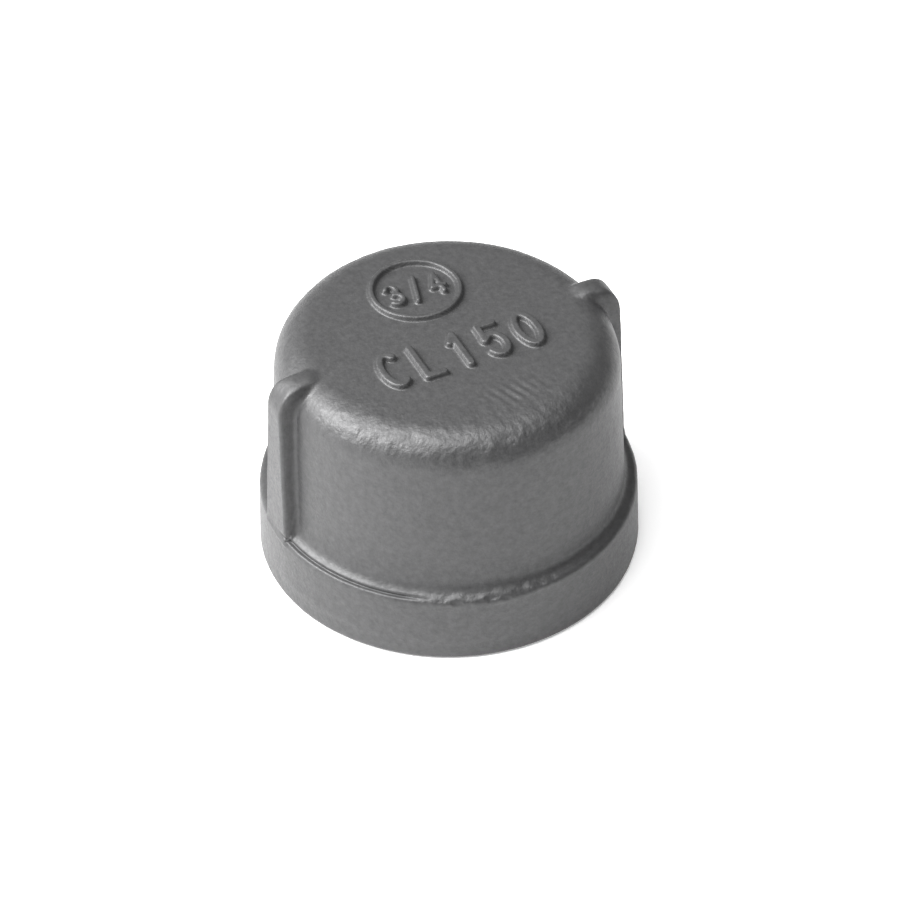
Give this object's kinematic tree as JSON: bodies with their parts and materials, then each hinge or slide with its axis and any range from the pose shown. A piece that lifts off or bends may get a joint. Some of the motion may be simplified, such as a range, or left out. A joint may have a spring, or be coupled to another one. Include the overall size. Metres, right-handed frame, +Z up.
{
  "type": "pipe cap",
  "caption": "Round cast-iron pipe cap with a reinforcing band at its mouth, two side ribs, raised marks on the closed end and an internal taper pipe thread.",
  "frame": {"origin": "centre of the rim face, on the thread axis", "axes": "+Z up the thread axis from the mouth to the closed end, X through the two side ribs, +Y towards the ring mark's side of the closed end"},
  "size_m": [0.037, 0.037, 0.0251],
  "materials": {
    "cast_iron": "as cast, matt, with a fine grain and lighter worn edges; machined bright on the thread"
  },
  "bodies": {
    "root": {"cap_casting": "cast_iron"}
  },
  "joints": []
}
